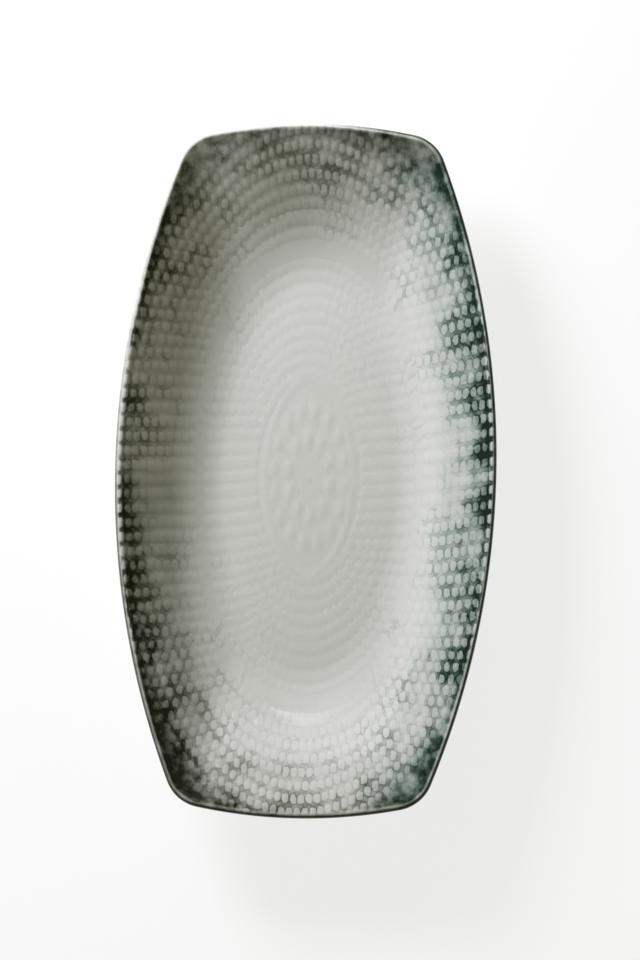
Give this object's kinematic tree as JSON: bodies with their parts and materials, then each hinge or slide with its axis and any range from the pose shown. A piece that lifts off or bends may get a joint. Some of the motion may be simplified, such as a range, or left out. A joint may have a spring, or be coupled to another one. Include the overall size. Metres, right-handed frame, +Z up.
{
  "type": "boat-shaped plate",
  "caption": "Long boat-shaped serving plate in glazed porcelain, with bowed sides, round corners, a sloping beaded wall and an oval foot; it stands flat and holds food.",
  "frame": {"origin": "centre of the oval foot, on the table", "axes": "+Y along the plate, +X across it, +Z up out of the dish"},
  "size_m": [0.186, 0.34, 0.042],
  "materials": {
    "clay": "fired clay, under the glaze",
    "bare_foot": "bare fired clay, matt",
    "face_coat": "gloss glaze with a dark green-grey stain in the hollows of the relief",
    "back_coat": "gloss glaze"
  },
  "bodies": {
    "root": {"porcelain_body": "clay", "foot_ring": "bare_foot", "face_glaze": "face_coat", "skirt_glaze": "back_coat", "recess_glaze": "back_coat"}
  },
  "joints": []
}
